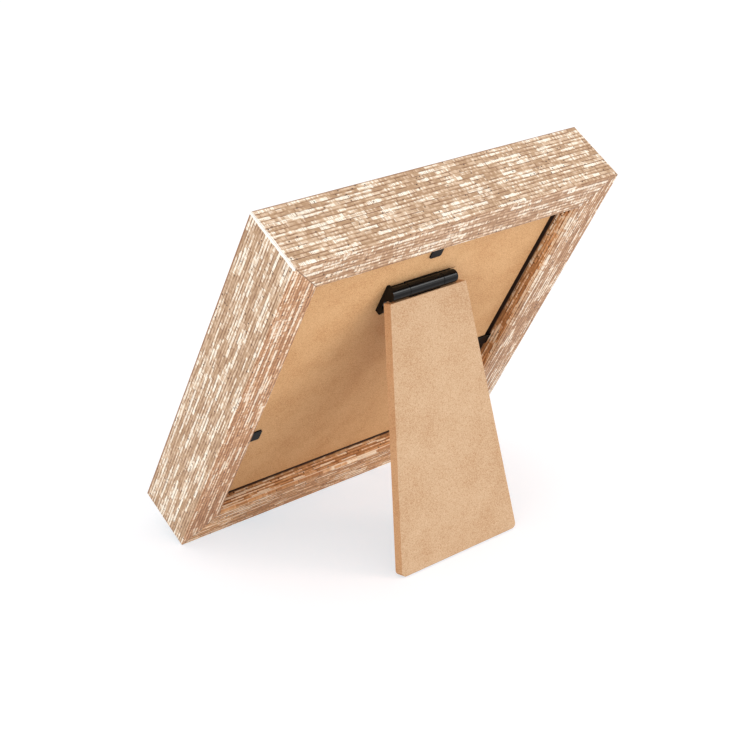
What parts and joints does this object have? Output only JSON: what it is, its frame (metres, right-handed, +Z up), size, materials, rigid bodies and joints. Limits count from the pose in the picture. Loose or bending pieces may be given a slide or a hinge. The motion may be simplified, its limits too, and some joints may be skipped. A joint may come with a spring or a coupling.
{
  "type": "easel back photo frame",
  "caption": "Nearly square deep block photo frame with mitred rails, a board back held by flexible tabs, and a hinged easel leg that folds into the recess.",
  "frame": {"origin": "on the ground, in the middle of the space that the standing frame fills", "axes": "+X across the frame, +Y behind it towards the leg, +Z up; the front faces -Y and the frame leans back from upright"},
  "size_m": [0.127, 0.088, 0.1244],
  "materials": {
    "foil_wood": "wood-effect foil, fine pale and brown dashes along each rail, satin",
    "board_mdf": "bare medium-density fibre board, matt",
    "leg_mdf": "bare medium-density fibre board, matt, browner cut edges",
    "insert_paper": "plain blank paper",
    "clear_glass": "clear float glass",
    "hinge_plastic": "moulded black, glossy",
    "pin_steel": "plain wire",
    "tab_steel": "blackened spring steel, satin"
  },
  "bodies": {
    "frame": {"rail_top": "foil_wood", "rail_bottom": "foil_wood", "rail_left": "foil_wood", "rail_right": "foil_wood", "backing_board": "board_mdf", "photo_insert": "insert_paper", "glass": "clear_glass", "hinge_board_half": "hinge_plastic", "hinge_pin": "pin_steel", "tab_shanks": "tab_steel"},
    "leg": {"easel_leg": "leg_mdf", "hinge_leg_half": "hinge_plastic"},
    "top_tab": {"tab_top": "tab_steel"},
    "left_tab": {"tab_left": "tab_steel"},
    "right_tab": {"tab_right": "tab_steel"}
  },
  "joints": [
    {"name": "leg_fold", "type": "hinge", "parent": "frame", "child": "leg", "pos_m": [0, 0.02497, 0.0874], "axis": [1, 0, 0], "range_deg": [-40.1, 0]},
    {"name": "top_tab_bend", "type": "hinge", "parent": "frame", "child": "top_tab", "pos_m": [-0.0007, 0.03312, 0.10481], "axis": [1, 0, 0], "range_deg": [0, 75]},
    {"name": "left_tab_bend", "type": "hinge", "parent": "frame", "child": "left_tab", "pos_m": [0.0509, -0.00698, 0.03942], "axis": [0, -0.5227, -0.8525], "range_deg": [0, 75]},
    {"name": "right_tab_bend", "type": "hinge", "parent": "frame", "child": "right_tab", "pos_m": [-0.0509, -0.00206, 0.04744], "axis": [0, 0.5227, 0.8525], "range_deg": [0, 75]}
  ]
}
